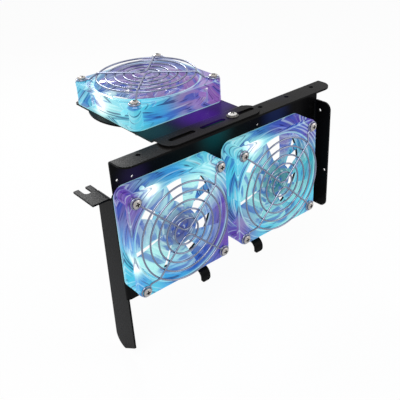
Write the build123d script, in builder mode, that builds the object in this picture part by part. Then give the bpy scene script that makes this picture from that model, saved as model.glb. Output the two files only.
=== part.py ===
"""Triple-fan cooler that screws into an expansion slot beside a graphics card.

A folded sheet-metal bracket carries two 70 mm fans in line, and a separate plate, screwed
on the bracket's top flange through slots, carries a third fan at right angles to them.

Frame, in millimetres: +X along the bracket away from the slot blade, +Y towards the back of
the bracket, +Z up. The origin is on the underside of the screw tab, in the middle of the flat
that rests on the case.
"""
from build123d import *
from math import cos, radians, sin, sqrt
import os

os.makedirs("parts", exist_ok=True)

# Fan housing, a 70 x 70 x 15 mm fan with its holes on a 60 mm square
fan_side = 70.0
fan_depth = 15.0
fan_hole_r = 2.2
fan_corner_r = 7.0
fan_hole_rows = 2
bore_r = 33.5
duct_wall = 1.3
flange_thick = 2.6
post_wall = 1.9
post_edge = 0.9
front_edge_chamfer = 0.7
base_thick = 1.6
strut_width = 3.2
strut_depth = 2.0
strut_count = 4
strut_start = 20.0
tube_wall = 0.9

# Impeller and its motor
tip_gap = 0.9
hub_r = 12.0
hub_wall = 1.3
hub_cap = 1.3
hub_edge_chamfer = 0.8
hub_setback = 1.5
hub_back_gap = 1.0
blade_count = 7
blade_thick = 1.1
blade_root_width = 6.6
blade_tip_width = 21.0
blade_tip_rise = 7.4
blade_camber = 0.16
blade_sweep = 14.0
root_sink = 0.25
boss_r = 2.3
boss_length = 2.1
shaft_r = 1.0
shaft_embed = 0.9
bearing_r = 2.5
bearing_play = 0.03
yoke_thick = 0.6
magnet_thick = 1.1
magnet_back_gap = 0.9
magnet_front_gap = 0.6
air_gap = 0.45
stator_thick = 4.6
stator_core_r = 5.0
pole_count = 4
arm_width = 2.2
shoe_thick = 0.9
shoe_span = 66.0
coil_build = 1.3
coil_end_gap = 0.4
coil_play = 0.1
board_thick = 0.9
board_gap = 0.4
board_r = 8.4
collar_thick = 0.4
collar_r = 1.9
collar_gap = 0.1
shaft_end_gap = 0.15

# Lamps in the four corners of each fan
lamp_count = 4
lamp_r = 1.5
lamp_set = 0.75
lamp_length = 4.6
lamp_angle = 122.0
lamp_play = 0.05

# Wire guard and its screws
wire = 1.1
wire_sides = 4
loop_sides = 12
ring_sides = 36
ring_count = 5
ring_first_r = 8.5
ring_last_r = 31.6
guard_rise = 2.9
weld_sink = 0.1
rib_leg_end = 37.0
rib_apex_gap = 2.2
rib_apex_r = 2.6
loop_play = 0.95
screw_r = 1.75
screw_head_r = 3.1
screw_head_height = 1.5
screw_tail = 2.6

# Sheet-metal bracket
sheet = 1.2
bend_r = 1.4
panel_width = 164.3
panel_left = 34.3
panel_up = 51.9
panel_down = 44.0
fan_gap = 8.9
panel_bore_r = 33.0
flange_depth = 15.0
flange_front_r = 6.0
flange_tip_r = 8.0
flange_hole_pitch = 22.8
flange_hole_count = 7
flange_hole_first = 15.3
flange_hole_r = 1.5
flange_hole_set = 8.4
side_depth = 14.0
side_down = 41.0
side_notch = 13.2
side_round = 5.0
side_hole_r = 1.1
tab_drop = 24.9
tab_depth = 11.4
tab_length = 21.4
tab_setback = 3.1
notch_width = 4.6
notch_depth = 8.2
notch_centre = 5.8
blade_width = 18.8
blade_flare = 3.4
slot_blade_length = 118.8
tongue_front_rise = 8.3
tongue_r = 9.0
hook_width = 7.0
hook_reach = 9.4
hook_drop = 8.8
hook_first = 54.5
hook_pitch = 47.2
hook_count = 2
hook_bend_r = 5.0
hook_end_r = 2.0
edge_gap_low = 34.4
edge_gap_inset = 1.0
edge_gap_r = 3.0
pilot_r = 0.9
pilot_places = [(-30.7, 38.6), (-20.9, 37.4), (75.2, 37.4)]
side_hole_places = [(6.0, -11.4), (12.0, 32.0)]
web_rise = 4.0
finger_length = 7.1
edge_near = 0.01

# Upper fan plate
strip_lead = 7.6
step_bend_r = 1.4
plate_shift = 0.4
strip_width = 72.4
strip_corner_r = 8.0
strip_tip_r = 7.2
plate_step = 2.0
plate_width = 67.4
plate_rim_r = 39.3
plate_bore_r = 33.0
plate_tip_r = 2.5
slot_width = 3.6
slot_travel = 15.0
strip_front_gap = 0.9
step_gap = 0.35
step_run = 2.4
clamp_r = 1.4
clamp_head_r = 3.1
clamp_head_height = 2.0
clamp_head_chamfer = 0.8
clamp_washer_r = 3.7
clamp_washer_thick = 0.5
clamp_tail = 2.2

# Heights and places that follow from the sizes above, measured from the fan 1 axis
fan_spacing = fan_side + fan_gap
fan_hole_pitch = fan_side - 2 * (fan_hole_r + post_wall + post_edge)
fan_front_y = 1.2
panel_y = fan_front_y + fan_depth
panel_back_y = panel_y + sheet
left_x = -panel_left
right_x = left_x + panel_width
flange_top = panel_up
flange_low = flange_top - sheet
flange_front_y = panel_back_y - flange_depth
hole_y = flange_front_y + flange_hole_set
tab_low = panel_up - tab_drop - sheet
tab_y = panel_back_y + tab_setback
tab_x = left_x - tab_depth
tongue_z = tab_low + sheet - slot_blade_length
strip_top = flange_top + sheet
plate_top = strip_top - plate_step
fan_3_x = 31.4
fan_3_y = 71.4
tab_mid = (left_x - notch_centre, tab_y + (tab_length - notch_depth) / 2, tab_low)


def to_tab(x, y, z):
    """Place a point, measured from the fan 1 axis, in the frame of the slot tab."""
    return (x - tab_mid[0], y - tab_mid[1], z - tab_mid[2])


fan_planes = {
    "fan_1": Plane(origin=to_tab(0, fan_front_y, 0), x_dir=(1, 0, 0), z_dir=(0, -1, 0)),
    "fan_2": Plane(origin=to_tab(fan_spacing, fan_front_y, 0), x_dir=(1, 0, 0), z_dir=(0, -1, 0)),
    "fan_3": Plane(origin=to_tab(fan_3_x, fan_3_y, plate_top + fan_depth), x_dir=(1, 0, 0), z_dir=(0, 0, 1)),
}

# Fan design. Each piece is made once about its own axis, front face at z = 0, and placed three times.
tip_r = bore_r - tip_gap
hub_front = -hub_setback
hub_back = -(fan_depth - base_thick) + hub_back_gap
hub_length = hub_front - hub_back
base_front = -fan_depth + base_thick
hub_inner_r = hub_r - hub_wall
cap_inner = hub_front - hub_cap
boss_end = cap_inner - boss_length
sleeve_front = boss_end - board_gap
shaft_back = base_front + shaft_end_gap
collar_back = shaft_back + collar_gap
sleeve_back = collar_back + collar_thick + collar_gap
tube_r = bearing_r + tube_wall
hole_grid = (fan_hole_pitch, fan_hole_pitch, fan_hole_rows, fan_hole_rows)


def lamp_plane(lamp, radius):
    """Return the plane across one lamp, facing away from the fan axis at a radius."""
    angle = radians(lamp_angle + 360 / lamp_count * lamp)
    ray = Vector(cos(angle), sin(angle), 0)
    start = ray * radius
    return Plane(origin=(start.X, start.Y, -fan_depth / 2), x_dir=(0, 0, 1), z_dir=ray)


with BuildPart() as housing:
    with BuildSketch(Plane.XY.offset(-fan_depth)):
        Circle(bore_r + duct_wall)
        with GridLocations(*hole_grid):
            Circle(fan_hole_r + post_wall)
    extrude(amount=fan_depth)
    for level in (-fan_depth, -flange_thick):
        with BuildSketch(Plane.XY.offset(level)):
            RectangleRounded(fan_side, fan_side, fan_corner_r)
        extrude(amount=flange_thick)
    chamfer(housing.edges().group_by(Axis.Z)[-1], front_edge_chamfer)
    with BuildSketch():
        Circle(bore_r)
        with GridLocations(*hole_grid):
            Circle(fan_hole_r)
    extrude(amount=-fan_depth, mode=Mode.SUBTRACT)
    with BuildSketch(Plane.XY.offset(-fan_depth)):
        Circle(hub_r)
    extrude(amount=base_thick)
    with BuildSketch(Plane.XY.offset(-fan_depth)):
        with PolarLocations(0, strut_count, start_angle=strut_start):
            with Locations(((hub_r + bore_r) / 2, 0)):
                Rectangle(bore_r - hub_r + duct_wall, strut_width)
    extrude(amount=strut_depth)
    with BuildSketch(Plane.XY.offset(base_front)):
        Circle(tube_r)
        Circle(bearing_r, mode=Mode.SUBTRACT)
    extrude(amount=sleeve_front - base_front)
    for lamp in range(lamp_count):
        with BuildSketch(lamp_plane(lamp, bore_r - duct_wall)):
            Rectangle(2 * (lamp_r + lamp_play), 2 * (lamp_r + lamp_play))
        extrude(amount=2 * duct_wall + lamp_length, mode=Mode.SUBTRACT)

# One blade is a sheet rolled to an arc, run out from the hub and cut to its swept outline.
blade_middle = (hub_front + hub_back) / 2
root_face = hub_inner_r + root_sink
swept = Vector(cos(radians(blade_sweep)), sin(radians(blade_sweep)), 0)
root_centre = Vector(root_face, 0, blade_middle)
tip_centre = swept * tip_r + Vector(0, 0, blade_middle)
run = (tip_centre - root_centre).normalized()
side = Vector(-run.Y, run.X, 0)
half_chord = Vector(blade_tip_width / 2, blade_tip_rise / 2)
across = Vector(-half_chord.Y, half_chord.X).normalized()
bow = across * (2 * half_chord.length * blade_camber)
half_thick = across * (blade_thick / 2)
with BuildPart() as blade:
    with BuildSketch(Plane(origin=root_centre, x_dir=side, z_dir=run)):
        with BuildLine():
            ThreePointArc(half_thick - half_chord, half_thick + bow, half_thick + half_chord)
            Line(half_thick + half_chord, half_chord - half_thick)
            ThreePointArc(half_chord - half_thick, bow - half_thick, -half_chord - half_thick)
            Line(-half_chord - half_thick, half_thick - half_chord)
        make_face()
    extrude(amount=2 * (tip_r - root_face))
    with BuildSketch(Plane.XY.offset(-fan_depth)):
        with BuildLine():
            root_edge = side * (blade_root_width / 2)
            tip_edge = side * (blade_tip_width / 2) + run * tip_gap
            Polyline(
                root_centre - root_edge, tip_centre - tip_edge + run * (2 * tip_gap),
                tip_centre + tip_edge, root_centre + root_edge, close=True,
            )
        make_face()
        Circle(tip_r, mode=Mode.INTERSECT)
        Circle(root_face, mode=Mode.SUBTRACT)
    extrude(amount=fan_depth, mode=Mode.INTERSECT)

with BuildPart() as impeller:
    with BuildSketch(Plane.XY.offset(hub_back)):
        Circle(hub_r)
    extrude(amount=hub_length)
    chamfer(impeller.edges().group_by(Axis.Z)[-1], hub_edge_chamfer)
    with BuildSketch(Plane.XY.offset(hub_back)):
        Circle(hub_inner_r)
    extrude(amount=hub_length - hub_cap, mode=Mode.SUBTRACT)
    with BuildSketch(Plane.XY.offset(boss_end)):
        Circle(boss_r)
    extrude(amount=boss_length)
    with BuildSketch(Plane.XY.offset(boss_end)):
        Circle(shaft_r)
    extrude(amount=boss_length + shaft_embed, mode=Mode.SUBTRACT)
    with PolarLocations(0, blade_count):
        add(blade.part)

yoke_back = hub_back + magnet_back_gap
with BuildPart() as yoke:
    with BuildSketch(Plane.XY.offset(yoke_back)):
        Circle(hub_inner_r)
        Circle(hub_inner_r - yoke_thick, mode=Mode.SUBTRACT)
    extrude(amount=cap_inner - yoke_back)

magnet_r = hub_inner_r - yoke_thick - magnet_thick
with BuildPart() as magnet:
    with BuildSketch(Plane.XY.offset(yoke_back)):
        Circle(hub_inner_r - yoke_thick)
        Circle(magnet_r, mode=Mode.SUBTRACT)
    extrude(amount=cap_inner - yoke_back - magnet_front_gap)

with BuildPart() as shaft:
    with BuildSketch(Plane.XY.offset(shaft_back)):
        Circle(shaft_r)
    extrude(amount=boss_end + boss_length + shaft_embed - shaft_back)
    with BuildSketch(Plane.XY.offset(collar_back)):
        Circle(collar_r)
    extrude(amount=collar_thick)

with BuildPart() as bearing:
    with BuildSketch(Plane.XY.offset(sleeve_back)):
        Circle(bearing_r)
        Circle(shaft_r + bearing_play, mode=Mode.SUBTRACT)
    extrude(amount=sleeve_front - sleeve_back)

board_back = base_front + board_gap
with BuildPart() as board:
    with BuildSketch(Plane.XY.offset(board_back)):
        Circle(board_r)
        Circle(tube_r, mode=Mode.SUBTRACT)
        with Locations((0, -board_r)):
            Rectangle(board_r, board_thick * 2, mode=Mode.SUBTRACT)
    extrude(amount=board_thick)

pole_r = magnet_r - air_gap
shoe_in_r = pole_r - shoe_thick
stator_back = board_back + board_thick + coil_end_gap + coil_build
with BuildPart() as stator:
    with BuildSketch(Plane.XY.offset(stator_back)):
        Circle(stator_core_r)
        with PolarLocations(0, pole_count):
            with Locations((shoe_in_r / 2, 0)):
                Rectangle(shoe_in_r + shoe_thick, arm_width)
            with BuildLine():
                span = radians(shoe_span / 2)
                outer = (pole_r * cos(span), pole_r * sin(span))
                inner = (shoe_in_r * cos(span), shoe_in_r * sin(span))
                ThreePointArc((outer[0], -outer[1]), (pole_r, 0), outer)
                Line(outer, inner)
                ThreePointArc(inner, (shoe_in_r, 0), (inner[0], -inner[1]))
                Line((inner[0], -inner[1]), (outer[0], -outer[1]))
            make_face()
        Circle(tube_r, mode=Mode.SUBTRACT)
    extrude(amount=stator_thick)

coil_in = stator_core_r + coil_play
coil_out = shoe_in_r * cos(radians(shoe_span / 2)) - coil_play / 2
stator_middle = stator_back + stator_thick / 2
with BuildPart() as coils:
    for pole in range(pole_count):
        turn = radians(360 / pole_count * pole)
        ray = Vector(cos(turn), sin(turn), 0)
        side = Vector(-ray.Y, ray.X, 0)
        start = ray * coil_in
        with BuildSketch(Plane(origin=(start.X, start.Y, stator_middle), x_dir=side, z_dir=ray)):
            Rectangle(arm_width + 2 * coil_build, stator_thick + 2 * coil_build)
            Rectangle(arm_width, stator_thick, mode=Mode.SUBTRACT)
        extrude(amount=coil_out - coil_in)

with BuildPart() as lamps:
    for lamp in range(lamp_count):
        with BuildSketch(lamp_plane(lamp, bore_r + lamp_set)):
            Circle(lamp_r)
        extrude(amount=lamp_length)

# Guard: rings welded under two bent ribs whose ends curl round the screws.
ring_level = wire / 2 + guard_rise
rib_level = ring_level + wire - weld_sink
loop_level = wire / 2
ring_pitch = (ring_last_r - ring_first_r) / (ring_count - 1)
guard_radii = [ring_last_r - ring_pitch * n for n in range(ring_count)]
loop_r = screw_r + loop_play + wire / 2
screw_radius = fan_hole_pitch / sqrt(2)

diagonal = sqrt(0.5)
quarter_signs = [(1, 1), (-1, 1), (-1, -1), (1, -1)]


def along(radius, level, quarter):
    """Return a point on the diagonal of one quarter at a radius and a level."""
    sign_x, sign_y = quarter_signs[quarter]
    return Vector(sign_x * radius * diagonal, sign_y * radius * diagonal, level)


ribs = []
for first, second, side in ((0, 1, 1), (2, 3, -1)):
    foot = along(rib_leg_end, loop_level, first)
    end = along(screw_radius - loop_r, loop_level, first)
    near = along(2 * rib_apex_r, rib_level, first)
    near_other = along(2 * rib_apex_r, rib_level, second)
    with BuildPart() as rib:
        with BuildLine():
            Polyline(end, foot, along(ring_last_r, rib_level, first), near)
            ThreePointArc(near, (0, side * rib_apex_gap, rib_level), near_other)
            Polyline(
                near_other,
                along(ring_last_r, rib_level, second),
                along(rib_leg_end, loop_level, second),
                along(screw_radius - loop_r, loop_level, second),
            )
        with BuildSketch(Plane(origin=end, x_dir=(0, 0, 1), z_dir=(foot - end))):
            RegularPolygon(wire / 2, wire_sides, major_radius=False, rotation=45)
        sweep(transition=Transition.RIGHT)
    ribs.append(rib.part)

with BuildPart() as guard:
    with BuildSketch(Plane.XY.offset(ring_level - wire / 2)):
        for radius in guard_radii:
            RegularPolygon(radius + wire / 2, ring_sides)
            RegularPolygon(radius - wire / 2, ring_sides, mode=Mode.SUBTRACT)
    extrude(amount=wire)
    add(ribs)
    with BuildSketch(Plane.XY):
        with GridLocations(*hole_grid):
            RegularPolygon(loop_r + wire / 2, loop_sides)
            RegularPolygon(loop_r - wire / 2, loop_sides, mode=Mode.SUBTRACT)
    extrude(amount=wire)

# Screws through the guard loop, the fan and the sheet behind it
grip = fan_depth + sheet
with BuildPart() as screws:
    with BuildSketch(Plane.XY.offset(wire)):
        with GridLocations(*hole_grid):
            Circle(screw_head_r)
    extrude(amount=screw_head_height)
    with BuildSketch(Plane.XY.offset(wire)):
        with GridLocations(*hole_grid):
            Circle(screw_r)
    extrude(amount=-(wire + grip + screw_tail))

fan_pieces = {
    "housing": housing,
    "impeller": impeller,
    "yoke": yoke,
    "magnet": magnet,
    "shaft": shaft,
    "bearing": bearing,
    "stator": stator,
    "coils": coils,
    "board": board,
    "lamps": lamps,
    "guard": guard,
    "screws": screws,
}

for fan_name, fan_plane in fan_planes.items():
    for piece_name, piece in fan_pieces.items():
        placed = piece.part.moved(fan_plane.location)
        placed.label = f"{fan_name}_{piece_name}"
        export_step(placed, f"parts/{placed.label}.step")

# Bracket, one folded sheet: panel, top flange, side flange, slot blade, screw tab and two hooks,
# with the panel's lower edge cut away between the hooks.
# Each fold is a strip drawn along its mid line and pulled to its width, then cut to outline.
mid_y = panel_y + sheet / 2
fold_r = bend_r + sheet / 2
outer_bend = bend_r + sheet
tab_top = tab_low + sheet
blade_back = panel_y + blade_width
tongue_back = blade_back + blade_flare
side_top = panel_up - side_notch
side_y = panel_back_y - side_depth
hook_y = panel_back_y - hook_reach
hook_z = -panel_down - sheet / 2
hook_end_z = -panel_down - hook_drop
flange_hole_xs = [left_x + flange_hole_first + flange_hole_pitch * n for n in range(flange_hole_count)]
panel_height = panel_up + panel_down
panel_middle = (panel_up - panel_down) / 2


def across_plane(x):
    """Return the plane across the bracket at x, drawn with Y to the right and Z up."""
    return Plane(origin=to_tab(x, 0, 0), x_dir=(0, 1, 0), z_dir=(1, 0, 0))


def level_plane(z):
    """Return the level plane at z, drawn with X to the right and Y up the page."""
    return Plane(origin=to_tab(0, 0, z))


front_plane = Plane(origin=to_tab(0, panel_y, 0), x_dir=(1, 0, 0), z_dir=(0, -1, 0))
tab_start_plane = Plane(origin=to_tab(0, tab_y, 0), x_dir=(1, 0, 0), z_dir=(0, -1, 0))

with BuildPart() as bracket:
    with BuildSketch(across_plane(left_x)):
        with BuildLine():
            FilletPolyline(
                (mid_y, -panel_down), (mid_y, flange_top - sheet / 2), (flange_front_y, flange_top - sheet / 2),
                radius=fold_r,
            )
        trace(line_width=sheet)
    extrude(amount=panel_width)
    with BuildSketch(front_plane):
        with Locations((left_x + outer_bend / 2, (tab_top + web_rise - panel_down) / 2)):
            Rectangle(outer_bend, tab_top + web_rise + panel_down)
        with Locations((right_x - outer_bend / 2, (side_top - panel_down) / 2)):
            Rectangle(outer_bend, side_top + panel_down)
    extrude(amount=-sheet, mode=Mode.SUBTRACT)
    with BuildSketch(level_plane(flange_low)):
        with Locations(((left_x + right_x) / 2, (flange_front_y + mid_y) / 2)):
            Rectangle(panel_width, mid_y - flange_front_y)
        with BuildLine():
            FilletPolyline(
                (left_x, mid_y), (left_x, flange_front_y), (right_x - flange_tip_r, flange_front_y),
                radius=flange_front_r,
            )
            RadiusArc(
                (right_x - flange_tip_r, flange_front_y), (right_x, flange_front_y + flange_tip_r), -flange_tip_r,
            )
            Polyline((right_x, flange_front_y + flange_tip_r), (right_x, mid_y), (left_x, mid_y))
        make_face(mode=Mode.SUBTRACT)
    extrude(amount=sheet, mode=Mode.SUBTRACT)
    with BuildSketch(level_plane(-side_down)):
        with BuildLine():
            FilletPolyline(
                (right_x - 2 * outer_bend, mid_y), (right_x - sheet / 2, mid_y), (right_x - sheet / 2, side_y),
                radius=fold_r,
            )
        trace(line_width=sheet)
    extrude(amount=side_top + side_down)
    side_edges = bracket.edges().filter_by(Axis.X).filter_by_position(
        Axis.Y, side_y - tab_mid[1] - edge_near, side_y - tab_mid[1] + edge_near
    )
    fillet(side_edges, side_round)
    with BuildSketch(level_plane(-panel_down)):
        with BuildLine():
            FilletPolyline(
                (left_x + 2 * outer_bend, mid_y), (left_x + sheet / 2, mid_y), (left_x + sheet / 2, blade_back),
                radius=fold_r,
            )
        trace(line_width=sheet)
    extrude(amount=tab_top + web_rise + panel_down)
    with BuildSketch(across_plane(left_x)):
        with BuildLine():
            Polyline(
                (panel_back_y, tab_top + web_rise), (tab_y, tab_low), (blade_back, tab_low),
                (blade_back, tab_top + web_rise), close=True,
            )
        make_face()
    extrude(amount=outer_bend, mode=Mode.SUBTRACT)
    with BuildSketch(across_plane(left_x)):
        with BuildLine():
            Polyline(
                (tongue_back, tongue_z + tongue_r), (blade_back, tab_low - outer_bend), (blade_back - sheet, -panel_down),
                (mid_y, -panel_down), (mid_y, tongue_z + tongue_front_rise), (tongue_back - tongue_r, tongue_z),
            )
            RadiusArc((tongue_back - tongue_r, tongue_z), (tongue_back, tongue_z + tongue_r), -tongue_r)
        make_face()
    extrude(amount=sheet)
    with BuildSketch(tab_start_plane):
        with BuildLine():
            FilletPolyline(
                (left_x + sheet / 2, tab_low - outer_bend), (left_x + sheet / 2, tab_low + sheet / 2),
                (tab_x, tab_low + sheet / 2), radius=fold_r,
            )
        trace(line_width=sheet)
    extrude(amount=-(blade_back - tab_y))
    with BuildSketch(level_plane(tab_low)):
        with Locations(((tab_x + left_x) / 2, tab_y + tab_length - finger_length / 2)):
            Rectangle(tab_depth, finger_length)
    extrude(amount=sheet)
    with BuildSketch(level_plane(tab_low)):
        with Locations((left_x - notch_centre, tab_y + tab_length)):
            SlotOverall(2 * notch_depth, notch_width, rotation=90)
    extrude(amount=sheet, mode=Mode.SUBTRACT)
    for hook in range(hook_count):
        with BuildSketch(across_plane(left_x + hook_first - hook_width / 2 + hook * hook_pitch)):
            with BuildLine():
                FilletPolyline(
                    (mid_y, -panel_down + outer_bend), (mid_y, hook_z), (hook_y + sheet / 2, hook_z),
                    (hook_y + sheet / 2, hook_end_z), radius=[fold_r, hook_bend_r],
                )
            trace(line_width=sheet)
        extrude(amount=hook_width)
    hook_corners = bracket.edges().filter_by(Axis.Y).filter_by_position(
        Axis.Z, hook_end_z - tab_mid[2] - edge_near, hook_end_z - tab_mid[2] + edge_near
    )
    fillet(hook_corners, hook_end_r)
    with BuildSketch(front_plane):
        for fan_x in (0, fan_spacing):
            with Locations((fan_x, 0)):
                Circle(panel_bore_r)
                with GridLocations(*hole_grid):
                    Circle(screw_r)
        with Locations(*pilot_places):
            Circle(pilot_r)
        with Locations((left_x + hook_first + hook_pitch / 2, -panel_down)):
            RectangleRounded(
                hook_pitch - hook_width - 2 * edge_gap_inset, 2 * (panel_down - edge_gap_low), edge_gap_r,
            )
    extrude(amount=-sheet, mode=Mode.SUBTRACT)
    with BuildSketch(level_plane(flange_low)):
        with Locations(*[(x, hole_y) for x in flange_hole_xs]):
            Circle(flange_hole_r)
    extrude(amount=sheet, mode=Mode.SUBTRACT)
    with BuildSketch(across_plane(right_x - sheet)):
        with Locations(*side_hole_places):
            Circle(side_hole_r)
    extrude(amount=sheet, mode=Mode.SUBTRACT)

# Upper plate: a slotted strip on the flange, a step down behind it and a level field under fan 3
strip_mid = strip_top - sheet / 2
field_mid = plate_top - sheet / 2
strip_front_y = flange_front_y + strip_front_gap
step_y = panel_back_y + step_gap + sheet
field_back_y = fan_3_y + fan_side / 2
slot_first_x = flange_hole_xs[1]
strip_x = slot_first_x - strip_lead
with BuildPart() as top_plate:
    with BuildSketch(across_plane(fan_3_x - plate_rim_r)):
        with BuildLine():
            FilletPolyline(
                (strip_front_y, strip_mid), (step_y, strip_mid), (step_y + step_run, field_mid),
                (field_back_y, field_mid), radius=step_bend_r,
            )
        trace(line_width=sheet)
    extrude(amount=2 * plate_rim_r)
    with BuildSketch(level_plane(field_mid - sheet)):
        with Locations((strip_x + strip_width / 2, (strip_front_y + step_y) / 2)):
            RectangleRounded(strip_width, step_y - strip_front_y, strip_tip_r)
        with Locations((fan_3_x - plate_shift, (strip_front_y + strip_corner_r + fan_3_y) / 2)):
            Rectangle(plate_width, fan_3_y - strip_front_y - strip_corner_r)
        with Locations((fan_3_x, fan_3_y)):
            Circle(plate_rim_r)
            with Locations((0, fan_side / 4)):
                RectangleRounded(fan_side, fan_side / 2, plate_tip_r)
            Circle(plate_bore_r, mode=Mode.SUBTRACT)
            with GridLocations(*hole_grid):
                Circle(screw_r, mode=Mode.SUBTRACT)
        for slot in range(3):
            with Locations((slot_first_x + slot * flange_hole_pitch + slot_travel / 2, hole_y)):
                SlotCenterToCenter(slot_travel, slot_width, mode=Mode.SUBTRACT)
    extrude(amount=2 * sheet + plate_step + sheet, mode=Mode.INTERSECT)

clamp_x = flange_hole_xs[3]
with BuildPart() as clamp_screw:
    with BuildSketch(level_plane(strip_top + clamp_washer_thick)):
        with Locations((clamp_x, hole_y)):
            Circle(clamp_head_r)
    extrude(amount=clamp_head_height)
    chamfer(clamp_screw.edges().group_by(Axis.Z)[-1], clamp_head_chamfer)
    with BuildSketch(level_plane(strip_top + clamp_washer_thick)):
        with Locations((clamp_x, hole_y)):
            Circle(clamp_r)
    extrude(amount=-(clamp_washer_thick + 2 * sheet + clamp_tail))

with BuildPart() as clamp_washer:
    with BuildSketch(level_plane(strip_top)):
        with Locations((clamp_x, hole_y)):
            Circle(clamp_washer_r)
            Circle(clamp_r, mode=Mode.SUBTRACT)
    extrude(amount=clamp_washer_thick)

sheet_pieces = {
    "bracket": bracket,
    "top_plate": top_plate,
    "clamp_screw": clamp_screw,
    "clamp_washer": clamp_washer,
}
for piece_name, piece in sheet_pieces.items():
    piece.part.label = piece_name
    export_step(piece.part, f"parts/{piece_name}.step")
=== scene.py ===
# %% [markdown]
# This scene dresses a slot-mounted cooler for a graphics card: a folded black bracket, three
# clear box fans with coloured lamps in their corners, and a bright wire guard on each fan.
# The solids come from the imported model, so every piece here is placed from their boxes.

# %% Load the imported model
import math

import bmesh
import bpy
from mathutils import Matrix, Vector


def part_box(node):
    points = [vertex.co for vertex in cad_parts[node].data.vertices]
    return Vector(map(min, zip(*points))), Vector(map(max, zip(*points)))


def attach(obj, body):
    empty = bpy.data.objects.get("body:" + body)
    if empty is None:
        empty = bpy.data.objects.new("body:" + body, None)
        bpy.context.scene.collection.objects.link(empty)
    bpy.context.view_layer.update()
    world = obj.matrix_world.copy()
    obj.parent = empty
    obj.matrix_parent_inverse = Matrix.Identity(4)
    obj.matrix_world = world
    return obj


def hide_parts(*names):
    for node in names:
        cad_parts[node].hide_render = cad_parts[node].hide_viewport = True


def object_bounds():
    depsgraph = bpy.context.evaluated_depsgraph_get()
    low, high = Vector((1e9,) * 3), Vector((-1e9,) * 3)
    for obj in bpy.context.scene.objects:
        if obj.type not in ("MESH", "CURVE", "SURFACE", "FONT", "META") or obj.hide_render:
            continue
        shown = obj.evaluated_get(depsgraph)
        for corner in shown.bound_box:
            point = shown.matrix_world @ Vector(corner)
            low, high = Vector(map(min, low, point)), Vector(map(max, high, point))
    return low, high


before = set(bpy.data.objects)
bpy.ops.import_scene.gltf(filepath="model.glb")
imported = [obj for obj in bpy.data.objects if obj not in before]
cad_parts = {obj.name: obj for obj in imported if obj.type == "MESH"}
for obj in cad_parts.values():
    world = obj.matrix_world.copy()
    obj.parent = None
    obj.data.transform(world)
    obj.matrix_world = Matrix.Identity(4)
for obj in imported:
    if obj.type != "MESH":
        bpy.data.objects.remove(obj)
cad_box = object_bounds()
print("CAD box", cad_box)

# %% [markdown]
# The camera comes first. It stands in front of the slot blade's side, above the fans, and leans a
# few degrees. Three unit vectors give its turn: a camera in Blender looks along its own minus Z,
# with X to the right.

# %% Camera
MM = 0.001
CAMERA_PLACE = Vector((-145.2, -286.1, 181.65)) * MM
CAMERA_RIGHT = Vector((0.7727, -0.6323, -0.0551))
CAMERA_UP = Vector((0.3593, 0.3642, 0.8592))
CAMERA_LENS = 58.37

camera_data = bpy.data.cameras.new("camera")
camera_data.lens = CAMERA_LENS
camera_data.sensor_width = 36.0
camera_data.clip_start = 0.01
camera_data.clip_end = 10.0
camera = bpy.data.objects.new("camera", camera_data)
bpy.context.scene.collection.objects.link(camera)
camera_back = CAMERA_RIGHT.cross(CAMERA_UP).normalized()
camera_turn = Matrix((CAMERA_RIGHT, CAMERA_UP, camera_back)).transposed().to_4x4()
camera.matrix_world = Matrix.Translation(CAMERA_PLACE) @ camera_turn
bpy.context.scene.camera = camera
bpy.context.scene.view_settings.view_transform = "Standard"
print("camera at", tuple(round(v, 4) for v in camera.location))

# %% [markdown]
# Each fan is one design placed three times. Two stand upright with their fronts towards -Y, and
# one lies flat with its front up. A matrix for each takes a point from the fan's own frame, with
# Z out of its front face, to the frame of the whole object.

# %% Where the fans stand
FANS = ("fan_1", "fan_2", "fan_3")
FAN_BODY = {"fan_1": "frame", "fan_2": "frame", "fan_3": "arm"}
UPRIGHT = Matrix(((1, 0, 0), (0, 0, -1), (0, 1, 0))).to_4x4()


def fan_matrix(fan):
    """Return the matrix from a fan's own frame to the object's frame."""
    low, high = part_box(f"{fan}_housing")
    middle = (low + high) / 2
    if fan == "fan_3":
        return Matrix.Translation((middle.x, middle.y, high.z))
    return Matrix.Translation((middle.x, low.y, middle.z)) @ UPRIGHT


fan_place = {fan: fan_matrix(fan) for fan in FANS}
housing_low, housing_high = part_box("fan_1_housing")
FAN_SIDE = housing_high.x - housing_low.x
FAN_DEPTH = housing_high.y - housing_low.y
for fan in FANS:
    print(fan, "front centre", tuple(round(v, 4) for v in fan_place[fan].translation))

# %% [markdown]
# Materials and Geometry Nodes trees are both graphs of nodes. These helpers link two sockets by
# name, feed an input either from another node's output or with a plain value, and add a node with
# all of its inputs fed, so that each graph below reads as a short list of steps. An output is
# passed on as a pair of its node and its name.

# %% Helpers that add and link nodes


def join(tree, source, output, target, entry):
    """Link one node's output to another node's input."""
    tree.links.new(source.outputs[output], target.inputs[entry])


def feed(tree, source, node, entry):
    """Give an input another node's output pair, or else a plain value."""
    if isinstance(source, tuple) and isinstance(source[0], bpy.types.Node):
        join(tree, *source, node, entry)
    else:
        node.inputs[entry].default_value = source


def add_node(tree, kind, inputs=None, **settings):
    """Add a node, set its options, and then feed its inputs by name or number."""
    node = tree.nodes.new(kind)
    for key, value in settings.items():
        setattr(node, key, value)
    for entry, source in (inputs or {}).items():
        feed(tree, source, node, entry)
    return node


print("node helpers ready")

# %% [markdown]
# A graph's sums and blends take many small nodes. Written as functions that return their output
# pair, they can be nested like a formula. A Mix node has sockets for each kind of data under the
# same names, so those for colours are picked by number.

# %% Helpers for sums and blends
MIX_SHARE, MIX_FIRST, MIX_SECOND, MIX_RESULT = 0, 6, 7, 2


def maths(tree, operation, *sources):
    """Add a Math node fed by output pairs or plain numbers, and return its output pair."""
    return add_node(tree, "ShaderNodeMath", dict(enumerate(sources)), operation=operation), "Value"


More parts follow.
